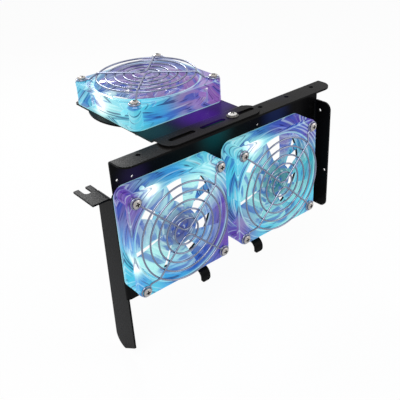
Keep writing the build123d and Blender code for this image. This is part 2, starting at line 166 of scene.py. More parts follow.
def vector_of(tree, **sources):
    """Join output pairs or numbers, named by their axes, into one vector's output pair."""
    return add_node(tree, "ShaderNodeCombineXYZ", sources), "Vector"


def axes_of(tree, source):
    """Split a vector's output pair into a node whose outputs are X, Y and Z."""
    return add_node(tree, "ShaderNodeSeparateXYZ", {"Vector": source})


def fade(tree, distance, width, curve="SMOOTHSTEP"):
    """Return a mask that is 1 at a distance of 0 and fades to 0 over a width."""
    inputs = {"Value": distance, "From Max": width, "To Min": 1.0, "To Max": 0.0}
    return add_node(tree, "ShaderNodeMapRange", inputs, interpolation_type=curve), "Result"


def mix_colours(tree, share, first, second):
    """Blend a second colour over a first by a share, and return the output pair."""
    inputs = {MIX_SHARE: share, MIX_FIRST: first, MIX_SECOND: second}
    return add_node(tree, "ShaderNodeMix", inputs, data_type="RGBA"), MIX_RESULT


print("sums and blends ready")

# %% [markdown]
# Every material starts the same way, and what several share is a node group: a small graph with
# named inputs and outputs that is built once and placed in each material with its own values.

# %% Helpers for materials and groups


def new_material(name):
    """Return a material with nothing in it but a Principled BSDF and its output."""
    material = bpy.data.materials.new(name)
    material.use_nodes = True
    tree = material.node_tree
    tree.nodes.clear()
    shader = add_node(tree, "ShaderNodeBsdfPrincipled")
    add_node(tree, "ShaderNodeOutputMaterial", {"Surface": (shader, "BSDF")})
    return material, tree, shader


def new_group(name, kind, inputs, outputs):
    """Return a node group with named inputs and outputs, and its two end nodes."""
    group = bpy.data.node_groups.new(name, kind)
    for label, socket_type, value in inputs:
        socket = group.interface.new_socket(name=label, in_out="INPUT", socket_type=socket_type)
        if value is not None:
            socket.default_value = value
    for label, socket_type in outputs:
        group.interface.new_socket(name=label, in_out="OUTPUT", socket_type=socket_type)
    return group, add_node(group, "NodeGroupInput"), add_node(group, "NodeGroupOutput")


print("material helpers ready")

# %% [markdown]
# Clear plastic with a lamp inside shows a soft pool of that lamp's colour, strongest near the
# lamp. One shader group paints one pool: it measures the distance to a point and mixes the pool's
# colour over the colour that comes in. Several in a row give a fan its blend of colours.

# %% Group: a pool of coloured light
pool_group, group_in, group_out = new_group(
    "light_pool", "ShaderNodeTree",
    [
        ("Position", "NodeSocketVector", None),
        ("Centre", "NodeSocketVector", None),
        ("Reach", "NodeSocketFloat", 20.0 * MM),
        ("Colour", "NodeSocketColor", None),
        ("Pool", "NodeSocketColor", None),
        ("Strength", "NodeSocketFloat", 1.0),
    ],
    [("Colour", "NodeSocketColor")],
)
ends = {0: (group_in, "Position"), 1: (group_in, "Centre")}
distance = add_node(pool_group, "ShaderNodeVectorMath", ends, operation="DISTANCE")
falloff = fade(pool_group, (distance, "Value"), (group_in, "Reach"), "SMOOTHERSTEP")
amount = maths(pool_group, "MULTIPLY", falloff, (group_in, "Strength"))
blend = mix_colours(pool_group, amount, (group_in, "Colour"), (group_in, "Pool"))
feed(pool_group, blend, group_out, "Colour")


def lay_pool(tree, position, below, centre, reach, colour, strength=1.0):
    """Lay one pool over the colour below it, and return the new colour's output pair."""
    inputs = {
        "Position": position, "Centre": centre, "Reach": reach * MM,
        "Colour": below, "Pool": (*colour, 1), "Strength": strength,
    }
    return add_node(tree, "ShaderNodeGroup", inputs, node_tree=pool_group), "Colour"


print("light_pool has", len(pool_group.nodes), "nodes")

# %% [markdown]
# Moulded clear plastic bends light into thin bright and dark streaks that run round the duct.
# This group turns a position into an angle and a radius about the fan's axis, and stretches a
# noise along the angle. The result is a mask of long curved streaks. A share of the depth is
# added to the radius, so that there are streaks on the duct's wall too, where the radius is
# everywhere the same.

# %% Group: streaks round the fan's axis
STREAK_DEPTH_SHARE = 0.8

streak_group, group_in, group_out = new_group(
    "round_streaks", "ShaderNodeTree",
    [
        ("Position", "NodeSocketVector", None),
        ("Around", "NodeSocketFloat", 1.2),
        ("Across", "NodeSocketFloat", 420.0),
        ("Low", "NodeSocketFloat", 0.4),
        ("High", "NodeSocketFloat", 0.6),
    ],
    [("Mask", "NodeSocketFloat")],
)
axes = axes_of(streak_group, (group_in, "Position"))
angle = maths(streak_group, "ARCTAN2", (axes, "Y"), (axes, "X"))
turn = maths(streak_group, "MULTIPLY", angle, (group_in, "Around"))
square = maths(streak_group, "MULTIPLY", (axes, "X"), (axes, "X"))
both_squares = maths(streak_group, "MULTIPLY_ADD", (axes, "Y"), (axes, "Y"), square)
radius = maths(streak_group, "SQRT", both_squares)
level = maths(streak_group, "MULTIPLY_ADD", (axes, "Z"), STREAK_DEPTH_SHARE, radius)
stretched = vector_of(
    streak_group,
    X=maths(streak_group, "SINE", turn),
    Y=maths(streak_group, "COSINE", turn),
    Z=maths(streak_group, "MULTIPLY", level, (group_in, "Across")),
)
noise = add_node(
    streak_group, "ShaderNodeTexNoise",
    {"Vector": stretched, "Scale": 1.0, "Detail": 2.0, "Roughness": 0.45},
)
mask = add_node(
    streak_group, "ShaderNodeMapRange",
    {"Value": (noise, "Fac"), "From Min": (group_in, "Low"), "From Max": (group_in, "High")},
    interpolation_type="SMOOTHSTEP",
)
join(streak_group, mask, "Result", group_out, "Mask")
print("round_streaks has", len(streak_group.nodes), "nodes")

# %% [markdown]
# Light that travels inside clear plastic comes out at its edges. This group marks the housing's
# outer edge and the rim of its round duct at the front and back faces, where the real plastic
# shows thin pale lines. It works in the fan's own frame, with the front face at Z = 0, and
# multiplies the mask of the nearest edge by that of the nearest face.

# %% Group: pale light along the edges
RIM_RADIUS = 34.0 * MM
EDGE_WIDTH = 0.9 * MM

edge_group, group_in, group_out = new_group(
    "edge_light", "ShaderNodeTree",
    [
        ("Position", "NodeSocketVector", None),
        ("Half side", "NodeSocketFloat", FAN_SIDE / 2),
        ("Rim radius", "NodeSocketFloat", RIM_RADIUS),
        ("Width", "NodeSocketFloat", EDGE_WIDTH),
        ("Half depth", "NodeSocketFloat", FAN_DEPTH / 2),
    ],
    [("Mask", "NodeSocketFloat")],
)
axes = axes_of(edge_group, (group_in, "Position"))
size_x = maths(edge_group, "ABSOLUTE", (axes, "X"))
size_y = maths(edge_group, "ABSOLUTE", (axes, "Y"))
larger = maths(edge_group, "MAXIMUM", size_x, size_y)
to_side = maths(edge_group, "SUBTRACT", (group_in, "Half side"), larger)
across = vector_of(edge_group, X=(axes, "X"), Y=(axes, "Y"))
from_axis = add_node(edge_group, "ShaderNodeVectorMath", {0: across}, operation="LENGTH")
past_rim = maths(edge_group, "SUBTRACT", (from_axis, "Value"), (group_in, "Rim radius"))
to_rim = maths(edge_group, "ABSOLUTE", past_rim)
line = fade(edge_group, maths(edge_group, "MINIMUM", to_side, to_rim), (group_in, "Width"))
from_middle = maths(edge_group, "ADD", (axes, "Z"), (group_in, "Half depth"))
depth_size = maths(edge_group, "ABSOLUTE", from_middle)
to_face = maths(edge_group, "SUBTRACT", (group_in, "Half depth"), depth_size)
near_face = fade(edge_group, to_face, (group_in, "Width"))
feed(edge_group, maths(edge_group, "MULTIPLY", line, near_face), group_out, "Mask")
print("edge_light has", len(edge_group.nodes), "nodes")

# %% [markdown]
# Paint, plastic and metal all carry a fine grain that breaks up their gloss. One group gives it
# between two values at a named size, and the helper puts it into a material's roughness. Where a
# bump and its depth are given, the same grain also raises the surface.

# %% Group: fine grain
grain_group, group_in, group_out = new_group(
    "fine_grain", "ShaderNodeTree",
    [
        ("Position", "NodeSocketVector", None),
        ("Size", "NodeSocketFloat", 900.0),
        ("Low", "NodeSocketFloat", 0.3),
        ("High", "NodeSocketFloat", 0.5),
    ],
    [("Value", "NodeSocketFloat"), ("Grain", "NodeSocketFloat")],
)
grain_noise = add_node(
    grain_group, "ShaderNodeTexNoise",
    {
        "Vector": (group_in, "Position"), "Scale": (group_in, "Size"),
        "Detail": 3.0, "Roughness": 0.6,
    },
)
grain_range = add_node(
    grain_group, "ShaderNodeMapRange",
    {
        "Value": (grain_noise, "Fac"), "From Min": 0.3, "From Max": 0.7,
        "To Min": (group_in, "Low"), "To Max": (group_in, "High"),
    },
)
join(grain_group, grain_range, "Result", group_out, "Value")
join(grain_group, grain_noise, "Fac", group_out, "Grain")


def add_grain(tree, shader, size, low, high, bump=0.0, depth=0.0):
    """Put the grain into roughness and bump, and return the place's and the grain's pairs."""
    place = (add_node(tree, "ShaderNodeTexCoord"), "Object")
    inputs = {"Position": place, "Size": size, "Low": low, "High": high}
    grain = add_node(tree, "ShaderNodeGroup", inputs, node_tree=grain_group)
    join(tree, grain, "Value", shader, "Roughness")
    if bump:
        heights = {"Height": (grain, "Grain"), "Strength": bump, "Distance": depth}
        relief = add_node(tree, "ShaderNodeBump", heights)
        join(tree, relief, "Normal", shader, "Normal")
    return place, (grain, "Grain")


print("fine_grain has", len(grain_group.nodes), "nodes")

# %% [markdown]
# The bracket is coated sheet steel: nearly black, satin, with a very fine orange peel. The faces
# that look up are painted a little lighter and browner, partly for dust and partly as a painted
# sheen; the mask is the up part of the surface normal times a soft noise. Where a lit fan stands
# close to the paint, a faint pool of its light is painted on as a glow, so the coat takes a list of
# such painted pools, each with its place, reach and colour. A low specular level keeps the pale
# room from greying the black.

# %% Material: satin black paint
BLACK = (0.0, 0.0, 0.0, 1)
PAINT_BLACK = (0.004, 0.0038, 0.004, 1)
# Lighter brown-grey for dust and painted sheen on the faces that look up.
PAINT_DUST_AND_SHEEN = (0.05, 0.043, 0.04, 1)
PAINT_SPECULAR = 0.04


def black_paint(name, painted_light):
    """Return the satin black coat with faint painted pools of the fans' light on it."""
    material, tree, shader = new_material(name)
    shader.inputs["Specular IOR Level"].default_value = PAINT_SPECULAR
    shader.inputs["Emission Strength"].default_value = 1.0
    place, _ = add_grain(tree, shader, size=1400.0, low=0.24, high=0.38, bump=0.12, depth=0.1 * MM)
    # Painted light: faint glowing pools of the fans' colours laid on the paint.
    glow = BLACK
    for centre, reach, colour in painted_light:
        glow = lay_pool(tree, place, glow, centre, reach, colour)
    feed(tree, glow, shader, "Emission Color")
    # Dust and painted sheen: faces that look up are mixed a little towards the lighter brown-grey.
    surface = axes_of(tree, (add_node(tree, "ShaderNodeNewGeometry"), "Normal"))
    cloud = add_node(tree, "ShaderNodeTexNoise", {"Vector": place, "Scale": 28.0, "Detail": 3.0})
    dust_and_sheen = maths(tree, "MULTIPLY", (surface, "Z"), (cloud, "Fac"))
    dust_and_sheen_range = {"Value": dust_and_sheen, "From Min": 0.25, "From Max": 0.8, "To Max": 0.15}
    faint = (add_node(tree, "ShaderNodeMapRange", dust_and_sheen_range), "Result")
    feed(tree, mix_colours(tree, faint, PAINT_BLACK, PAINT_DUST_AND_SHEEN), shader, "Base Color")
    return material


print("satin black paint ready")

# %% [markdown]
# Bright metals differ only in colour and roughness: plated wire, plated screws, bare steel,
# sintered bronze and enamelled copper are one function with different values. The small circuit
# board is lacquered green, and its grain mixes two greens.

# %% Material: metals and board lacquer
METAL_GRAIN_SIZE = 1200.0


def metal(name, colour, low, high):
    """Return a metal whose roughness varies between low and high with a fine grain."""
    material, tree, shader = new_material(name)
    shader.inputs["Base Color"].default_value = (*colour, 1)
    shader.inputs["Metallic"].default_value = 1.0
    add_grain(tree, shader, METAL_GRAIN_SIZE, low, high, bump=0.06, depth=0.05 * MM)
    return material


def board_lacquer():
    """Return the green lacquer of the small circuit board."""
    material, tree, shader = new_material("board_lacquer")
    _, grain = add_grain(tree, shader, size=500.0, low=0.3, high=0.5)
    colour = mix_colours(tree, grain, (0.004, 0.05, 0.03, 1), (0.01, 0.1, 0.05, 1))
    feed(tree, colour, shader, "Base Color")
    return material


WIRE_CHROME = metal("plated_wire", (0.23, 0.25, 0.34), 0.08, 0.16)
SCREW_PLATE = metal("plated_screw", (0.46, 0.43, 0.41), 0.14, 0.26)
CLAMP_PLATE = metal("bright_plated_screw", (0.68, 0.66, 0.64), 0.22, 0.34)
# A darker metal that paints shade into the screws' cross recesses.
SCREW_RECESS_SHADE = metal("screw_recess_painted_shade", (0.05, 0.05, 0.055), 0.4, 0.55)
WASHER_BLACK = metal("dark_washer", (0.1, 0.095, 0.09), 0.3, 0.45)
BARE_STEEL = metal("bare_steel", (0.5, 0.5, 0.52), 0.25, 0.4)
BRONZE = metal("sintered_bronze", (0.55, 0.37, 0.18), 0.35, 0.5)
COPPER = metal("enamelled_copper", (0.65, 0.27, 0.12), 0.2, 0.35)
FERRITE = metal("ferrite", (0.08, 0.075, 0.075), 0.5, 0.65)
BOARD = board_lacquer()
print("metals and board ready")

# %% [markdown]
# The lamps shine in a few clear colours, from cyan to violet, and where light gathers the plastic
# turns pale. A short palette of named colours, in linear values, keeps the three fans alike.

# %% Colours of the light
CYAN = (0.1, 0.62, 0.82)
SKY = (0.04, 0.3, 0.76)
AQUA = (0.3, 0.74, 0.76)
TEAL = (0.03, 0.36, 0.42)
DEEP_TEAL = (0.02, 0.2, 0.25)
PALE = (0.5, 0.95, 0.92)
FOAM = (0.9, 1.15, 1.15)
WHITE = (1.4, 1.45, 1.45)
BLUE = (0.03, 0.1, 0.5)
INDIGO = (0.02, 0.02, 0.14)
DARK_BLUE = (0.05, 0.05, 0.26)
VIOLET = (0.14, 0.05, 0.42)
DEEP_VIOLET = (0.14, 0.02, 0.4)
PURPLE = (0.28, 0.09, 0.42)
ORCHID = (0.36, 0.17, 0.5)
LILAC = (0.3, 0.23, 0.46)
print("colours of the light ready")

# %% [markdown]
# The fans are clear plastic lit by lamps of different colours, and that light is most of what
# one sees. The shader is glossy and partly see-through, and glows with its own pools of colour:
# the graph starts from a base tone, lays the pools over it, and then lets the streaks lift it
# towards white or sink it towards deep blue. The edges come last. The same colour, made darker,
# is the plastic's own colour, so that the room's light adds little to the glow. A Mapping node
# takes the object's coordinates into the fan's own frame, where the pools have their places.

# %% Material: lit clear plastic
BODY_SHARE = 0.3
PLASTIC_IOR = 1.49


def lit_plastic(name, fan, base, pools, streaks, clear, glow, edge):
    """Return clear plastic that glows with pools of colour at points of the fan's own frame."""
    material, tree, shader = new_material(name)
    place, _ = add_grain(tree, shader, size=350.0, low=0.04, high=0.12)
    to_fan = fan_place[fan].inverted()
    turn = {"Vector": place, "Location": to_fan.translation, "Rotation": to_fan.to_euler()}
    position = (add_node(tree, "ShaderNodeMapping", turn, vector_type="POINT"), "Vector")
    colour = (*base, 1)
    for centre, reach, pool, strength in pools:
        centre = tuple(v * MM for v in centre)
        colour = lay_pool(tree, position, colour, centre, reach, pool, strength)
    layers = [(streak_group, values, tint, share) for values, tint, share in streaks]
    if edge:
        layers.append((edge_group, {}, PALE, edge))
    for group, values, tint, share in layers:
        inputs = {"Position": position, **values}
        layer = add_node(tree, "ShaderNodeGroup", inputs, node_tree=group)
        amount = maths(tree, "MULTIPLY", (layer, "Mask"), share)
        colour = mix_colours(tree, amount, colour, (*tint, 1))
    body = mix_colours(tree, 1.0 - BODY_SHARE, colour, BLACK)
    feed(tree, body, shader, "Base Color")
    feed(tree, colour, shader, "Emission Color")
    shader.inputs["Emission Strength"].default_value = glow
    shader.inputs["Transmission Weight"].default_value = clear
    shader.inputs["IOR"].default_value = PLASTIC_IOR
    return material


print("lit clear plastic ready")

# %% [markdown]
# Three sets of streaks lie over the pools: broad dark blue ones, fine indigo ones and thin pale
# ones. Each is a set of values for the streak group, a tint and the most of it that shows. The
# pools are listed fan by fan: a place in millimetres from the middle of the fan's front, a reach, a
# colour and a strength. Later ones lie over earlier ones, and a small white pool inside a pale one
# is a lamp's hot spot.

# %% Streaks and pools of each fan
BRIGHT_STREAKS = ({"Around": 0.8, "Across": 520.0, "Low": 0.57, "High": 0.67}, FOAM, 0.36)
DARK_STREAKS = ({"Around": 1.6, "Across": 260.0, "Low": 0.49, "High": 0.61}, BLUE, 0.7)
FINE_STREAKS = ({"Around": 2.0, "Across": 800.0, "Low": 0.55, "High": 0.64}, INDIGO, 0.75)
HOUSING_STREAKS = (DARK_STREAKS, FINE_STREAKS, BRIGHT_STREAKS)
BLADE_STREAKS = (DARK_STREAKS, BRIGHT_STREAKS)

HOUSING_POOLS = {
    "fan_1": [
        ((-36, 32, -5), 48, VIOLET, 1.0),
        ((-34, 12, -2), 24, LILAC, 0.6),
        ((-38, 2, -2), 18, SKY, 0.9),
        ((-34, -22, 0), 14, SKY, 0.8),
        ((2, 36, -8), 18, SKY, 0.8),
        ((22, 27, 0), 22, PALE, 0.7),
        ((34, -28, 0), 44, VIOLET, 1.0),
        ((38, 0, -2), 34, VIOLET, 1.0),
        ((16, -8, -6), 18, SKY, 0.7),
        ((-8, -30, 0), 20, SKY, 0.8),
        ((14, -34, -4), 20, BLUE, 0.8),
        ((-34, -10, -2), 15, PALE, 1.0),
        ((-34, -10, -1), 9, WHITE, 1.0),
        ((-19, 34, -3), 14, PALE, 1.0),
        ((-19, 34, -1), 9, WHITE, 1.0),
    ],
    "fan_2": [
        ((12, 40, -5), 42, BLUE, 1.0),
        ((28, 32, 0), 36, VIOLET, 1.0),
        ((14, 36, 0), 24, BLUE, 1.0),
        ((3, 24, -3), 18, LILAC, 0.9),
        ((-38, -26, -5), 34, VIOLET, 1.0),
        ((-37, 6, -2), 20, CYAN, 0.9),
        ((28, 2, 0), 28, TEAL, 0.8),
        ((10, -30, 0), 24, AQUA, 0.9),
        ((-26, 5, 0), 14, PALE, 0.5),
        ((-34, -16, 0), 12, LILAC, 0.7),
        ((-21, 35, -3), 22, PALE, 1.0),
        ((-21, 35, -1), 11, WHITE, 1.0),
    ],
    "fan_3": [
        ((16, 34, -5), 70, LILAC, 1.0),
        ((48, -36, -10), 78, PURPLE, 1.0),
        ((34, -40, -16), 24, DEEP_VIOLET, 0.8),
        ((2, -36, -5), 22, LILAC, 0.9),
        ((20, -38, -6), 30, ORCHID, 0.75),
        ((-14, -36, -12), 18, SKY, 0.7),
        ((-36, -24, -8), 18, PALE, 0.5),
        ((-36, 0, -5), 28, PALE, 1.0),
        ((-36, 3, -6), 14, WHITE, 1.0),
    ],
}
for fan in FANS:
    print(fan, "has", len(HOUSING_POOLS[fan]), "pools")

# %% [markdown]
# Most CAD solids already have the right shape and only need their finish. The housing, the blades
# and the lamps of a fan share its pools, but differ in how clear they are and how much they glow.
# The blades carry the pools more weakly over a tone of their own, and two pools of one tone on the
# axis set off the hub.

# %% Finishes of the fans
HOUSING_LOOK = {"clear": 0.3, "glow": 0.64, "edge": 0.65}
BLADE_LOOK = {"clear": 0.35, "glow": 0.62, "edge": 0.0}
LAMP_LOOK = {"clear": 0.3, "glow": 0.7, "edge": 0.0}
BLADE_POOL_SHARE = 0.8
BLADE_TONE = {"fan_1": PALE, "fan_2": AQUA, "fan_3": LILAC}
HUB_TONE = {"fan_1": DARK_BLUE, "fan_2": DEEP_TEAL, "fan_3": LILAC}
HUB_CENTRE = (0, 0, -2)
HUB_POOLS = ((25, 0.85), (20, 0.8))
INNER_FINISH = {
    "yoke": BARE_STEEL, "stator": BARE_STEEL, "shaft": BARE_STEEL,
    "magnet": FERRITE, "bearing": BRONZE, "coils": COPPER, "board": BOARD,
    "guard": WIRE_CHROME, "screws": SCREW_PLATE,
}


def coat(node, material):
    """Give a CAD node one material all over."""
    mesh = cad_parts[node].data
    mesh.materials.clear()
    mesh.materials.append(material)


for fan in FANS:
    pools = HOUSING_POOLS[fan]
    blade_pools = [
        (centre, reach, colour, BLADE_POOL_SHARE * strength)
        for centre, reach, colour, strength in pools
    ]
    blade_pools += [(HUB_CENTRE, reach, HUB_TONE[fan], strength) for reach, strength in HUB_POOLS]
    for piece, finish, base, piece_pools, streaks, look in (
        ("housing", "clear_housing", CYAN, pools, HOUSING_STREAKS, HOUSING_LOOK),
        ("impeller", "clear_blades", BLADE_TONE[fan], blade_pools, BLADE_STREAKS, BLADE_LOOK),
        ("lamps", "lamp", CYAN, pools, (), LAMP_LOOK),
    ):
        plastic = lit_plastic(f"{fan}_{finish}", fan, base, piece_pools, streaks, **look)
        coat(f"{fan}_{piece}", plastic)
    for piece, material in INNER_FINISH.items():
        coat(f"{fan}_{piece}", material)
    print(fan, "is finished")

# %% [markdown]
# The panel behind the upright fans and the plate under the flat one show a little of the fans'
# light, painted on as a faint glow. Each row below is a place behind a fan, in millimetres of its
# own frame at its back face, with a reach and a faint colour of painted light. The washer under the
# clamp screw is a near-black metal, so that the bright screw head stands out of a dark ring.

# %% Finishes of the bracket, the plate and the clamp
# Rows of painted light: pools of the fans' colours glowing on the panel and the plate.
PANEL_LIGHT_ROWS = (
    ("fan_1", 40, 44, 20, (0.0, 0.035, 0.04)),
    ("fan_1", -20, 37, 16, (0.009, 0.005, 0.03)),
    ("fan_2", 12, 40, 18, (0.006, 0.012, 0.05)),
)
PLATE_LIGHT_ROWS = (
    ("fan_3", -26, -40, 22, (0.004, 0.03, 0.035)),
    ("fan_3", 8, -42, 28, (0.042, 0.005, 0.2)),
    ("fan_3", 28, -39, 16, (0.03, 0.008, 0.13)),
)


def painted_light_of(rows):
    """Return pools of painted light on the paint from rows of fan, x, y, reach and colour."""
    return [
        (fan_place[fan] @ Vector((x * MM, y * MM, -FAN_DEPTH)), reach, colour)
        for fan, x, y, reach, colour in rows
    ]


coat("bracket", black_paint("satin_black_bracket", painted_light_of(PANEL_LIGHT_ROWS)))
coat("top_plate", black_paint("satin_black_plate", painted_light_of(PLATE_LIGHT_ROWS)))
coat("clamp_screw", CLAMP_PLATE)
coat("clamp_washer", WASHER_BLACK)
print("finishes on", len(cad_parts), "nodes")

# %% [markdown]
# The guard is bent from bright round wire: five rings, two ribs bent to a V that touch them, and
# a loop round each screw. Geometry Nodes suit it, because all of it is wire of one thickness:
# the tree makes the rings from a count and a spacing, rounds the corners of the rib paths drawn
# as edges, adds the loops, and runs one round profile along everything. Its sizes are its inputs.
# A helper for Join Geometry, whose one input takes many links, is shared with the screws' tree.

# %% Tree: sizes of the wire guard
WIRE = 1.1 * MM
RING_COUNT = 5
RING_FIRST = 8.5 * MM
RING_LAST = 31.6 * MM
RING_LEVEL = 3.45 * MM
LOOP_LEVEL = WIRE / 2
LOOP_RADIUS = 3.25 * MM
HOLE_PITCH = 60.0 * MM
RING_STEPS, LOOP_STEPS, BEND_STEPS, WIRE_SIDES = 128, 32, 10, 12

guard_tree, group_in, group_out = new_group(
    "wire_guard", "GeometryNodeTree",
    [
        ("Paths", "NodeSocketGeometry", None),
        ("Wire", "NodeSocketFloat", WIRE),
        ("Rings", "NodeSocketInt", RING_COUNT),
        ("First ring", "NodeSocketFloat", RING_FIRST),
        ("Ring spacing", "NodeSocketFloat", (RING_LAST - RING_FIRST) / (RING_COUNT - 1)),
        ("Ring level", "NodeSocketFloat", RING_LEVEL),
        ("Loop radius", "NodeSocketFloat", LOOP_RADIUS),
        ("Loop pitch", "NodeSocketFloat", HOLE_PITCH),
        ("Loop level", "NodeSocketFloat", LOOP_LEVEL),
        ("Metal", "NodeSocketMaterial", None),
    ],
    [("Guard", "NodeSocketGeometry")],
)


def together(tree, *shapes):
    """Join the output pairs of several shapes into one shape's output pair."""
    node = add_node(tree, "GeometryNodeJoinGeometry")
    for shape in shapes:
        join(tree, *shape, node, "Geometry")
    return node, "Geometry"


print("wire_guard has", len(guard_tree.interface.items_tree), "sockets")

# %% [markdown]
# The rings are one circle put on as many points as there are rings, all in the middle, and each
# copy is scaled to its radius from its number. The loops are a smaller circle on the corners of a
# grid as wide as the screw holes stand apart.

# %% Tree: rings and loops of the guard
ring_points = add_node(
    guard_tree, "GeometryNodePoints",
    {
        "Count": (group_in, "Rings"),
        "Position": vector_of(guard_tree, Z=(group_in, "Ring level")),
    },
)
number = add_node(guard_tree, "GeometryNodeInputIndex")
spacing, first = (group_in, "Ring spacing"), (group_in, "First ring")
ring_size = maths(guard_tree, "MULTIPLY_ADD", (number, "Index"), spacing, first)
ring_line = add_node(
    guard_tree, "GeometryNodeCurvePrimitiveCircle", {"Resolution": RING_STEPS, "Radius": 1.0},
)
rings = add_node(
    guard_tree, "GeometryNodeInstanceOnPoints",
    {
        "Points": (ring_points, "Points"), "Instance": (ring_line, "Curve"),
        "Scale": vector_of(guard_tree, X=ring_size, Y=ring_size, Z=1.0),
    },
)
loop_grid = add_node(
    guard_tree, "GeometryNodeMeshGrid",
    {
        "Vertices X": 2, "Size X": (group_in, "Loop pitch"),
        "Vertices Y": 2, "Size Y": (group_in, "Loop pitch"),
    },
)
loop_places = add_node(
    guard_tree, "GeometryNodeSetPosition",
    {
        "Geometry": (loop_grid, "Mesh"),
        "Offset": vector_of(guard_tree, Z=(group_in, "Loop level")),
    },
)
loop_line = add_node(
    guard_tree, "GeometryNodeCurvePrimitiveCircle",
    {"Resolution": LOOP_STEPS, "Radius": (group_in, "Loop radius")},
)
loops = add_node(
    guard_tree, "GeometryNodeInstanceOnPoints",
    {"Points": (loop_places, "Geometry"), "Instance": (loop_line, "Curve")},
)
print("rings and loops ready")

# %% [markdown]
# The ribs come in as edges. They are made curves, and Fillet Curve rounds each corner by the bend
# radius that its point carries. Then all the lines are made real, and one small circle swept
# along them gives the wire its round section, closed at the ends.

# %% Tree: ribs and wire of the guard
rib_line = add_node(guard_tree, "GeometryNodeMeshToCurve", {"Mesh": (group_in, "Paths")})
bend = add_node(
    guard_tree, "GeometryNodeInputNamedAttribute", {"Name": "bend_radius"}, data_type="FLOAT",
)
rounded = add_node(
    guard_tree, "GeometryNodeFilletCurve",
    {
        "Curve": (rib_line, "Curve"), "Radius": (bend, "Attribute"),
        "Count": BEND_STEPS, "Limit Radius": True,
    },
    mode="POLY",
)
lines = together(guard_tree, (rings, "Instances"), (loops, "Instances"), (rounded, "Curve"))
real_lines = add_node(guard_tree, "GeometryNodeRealizeInstances", {"Geometry": lines})
even = add_node(
    guard_tree, "GeometryNodeSetCurveRadius", {"Curve": (real_lines, "Geometry"), "Radius": 1.0},
)
half_wire = maths(guard_tree, "MULTIPLY", (group_in, "Wire"), 0.5)
profile = add_node(
    guard_tree, "GeometryNodeCurvePrimitiveCircle", {"Resolution": WIRE_SIDES, "Radius": half_wire},
)
tube = add_node(
    guard_tree, "GeometryNodeCurveToMesh",
    {"Curve": (even, "Curve"), "Profile Curve": (profile, "Curve"), "Fill Caps": True},
)
smooth = add_node(guard_tree, "GeometryNodeSetShadeSmooth", {"Geometry": (tube, "Mesh")})
solid = add_node(guard_tree, "GeometryNodeRealizeInstances", {"Geometry": (smooth, "Geometry")})
plated = add_node(
    guard_tree, "GeometryNodeSetMaterial",
    {"Geometry": (solid, "Geometry"), "Material": (group_in, "Metal")},
)
join(guard_tree, plated, "Geometry", group_out, "Guard")
print("wire_guard has", len(guard_tree.nodes), "nodes")

# %% [markdown]
# A modifier's inputs are set by each socket's identifier. The finished shape is copied out of the
# evaluated object as a plain mesh, so that no modifier is left on the piece.
# A piece's place goes into its mesh, so that its object stays at the origin as the solids' do.

# %% Run a tree and keep its mesh


def grow(name, mesh, tree, values):
    """Run a Geometry Nodes tree on a mesh and return the result as a plain mesh."""
    holder = bpy.data.objects.new(f"{name}_holder", mesh)
    bpy.context.scene.collection.objects.link(holder)
    modifier = holder.modifiers.new("tree", "NODES")
    modifier.node_group = tree
    for socket in tree.interface.items_tree:
        if socket.in_out == "INPUT" and socket.name in values:
            modifier[socket.identifier] = values[socket.name]
    graph = bpy.context.evaluated_depsgraph_get()
    result = bpy.data.meshes.new_from_object(holder.evaluated_get(graph), depsgraph=graph)
    holder.modifiers.remove(modifier)
    bpy.data.objects.remove(holder)
    return result


def place_piece(name, mesh, matrix, body, node):
    """Make a piece of a mesh moved into place, riding on a body and standing for a CAD node."""
    mesh.transform(matrix)
    mesh.name = name
    piece = bpy.data.objects.new(name, mesh)
    bpy.context.scene.collection.objects.link(piece)
    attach(piece, body)
    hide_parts(node)
    print(name, len(mesh.polygons), "faces", [round(v / MM, 2) for v in piece.dimensions])


print("ready to grow pieces")

# %% [markdown]
# A guard's two ribs start at opposite loops, step up at the rim to lie on the rings, meet the
# fan's axis side by side, and turn back to the next loop. Their corners are drawn as a mesh of
# edges, and each corner carries its own bend radius as an attribute that the tree reads.

# %% Wire guards of the three fans
RIB_LEVEL = 4.45 * MM
RIB_FOOT = 37.0 * MM
RIB_TURN = 5.2 * MM
LEG_TURN = 1.4 * MM
DIAGONAL = math.sqrt(0.5)
RIB_QUARTERS = (((1, 1), (-1, 1)), ((-1, -1), (1, -1)))


def rib_paths():
    """Return a mesh of the two bent ribs as edges, with the bend radius of each corner."""
    leg = (
        (HOLE_PITCH * DIAGONAL - LOOP_RADIUS, LOOP_LEVEL, 0),
        (RIB_FOOT, LOOP_LEVEL, LEG_TURN),
        (RING_LAST, RIB_LEVEL, LEG_TURN),
    )
    corners, edges, radii = [], [], []
    for first, second in RIB_QUARTERS:
        start = len(corners)
        path = [(first, *corner) for corner in leg]
        path.append((first, 0, RIB_LEVEL, RIB_TURN))
        path += [(second, *corner) for corner in reversed(leg)]
        for (x, y), radius, level, turn in path:
            corners.append((x * radius * DIAGONAL, y * radius * DIAGONAL, level))
            radii.append(turn)
        edges += [(start + n, start + n + 1) for n in range(len(path) - 1)]
    mesh = bpy.data.meshes.new("rib_paths")
    mesh.from_pydata(corners, edges, [])
    mesh.attributes.new("bend_radius", "FLOAT", "POINT").data.foreach_set("value", radii)
    return mesh


for fan in FANS:
    guard_mesh = grow("guard", rib_paths(), guard_tree, {"Metal": WIRE_CHROME})
    place_piece(
        f"{fan}_wire_guard", guard_mesh, fan_place[fan], FAN_BODY[fan],
        node=f"{fan}_guard",
    )

# %% [markdown]
# Every screw is a pan head with a cross recess on a threaded shank. The shape follows a rule, so
# one tree makes them all: a cylinder's top is lifted to a crown, two crossed bars are cut out of
# it, the shank's rings are pulled in by turns for the thread, and a copy goes to each point of the
# mesh it is given. The recess keeps a mark, so that it can take a darker metal at the end, which
# paints shade into it.

# %% Tree: pan head screws
RECESS_TOP_SHARE = 0.3
RECESS_FLOOR_SHARE = 1.1
RECESS_REACH_SHARE = 0.55
HEAD_SIDES, HEAD_RINGS, SHANK_SIDES = 28, 5, 16

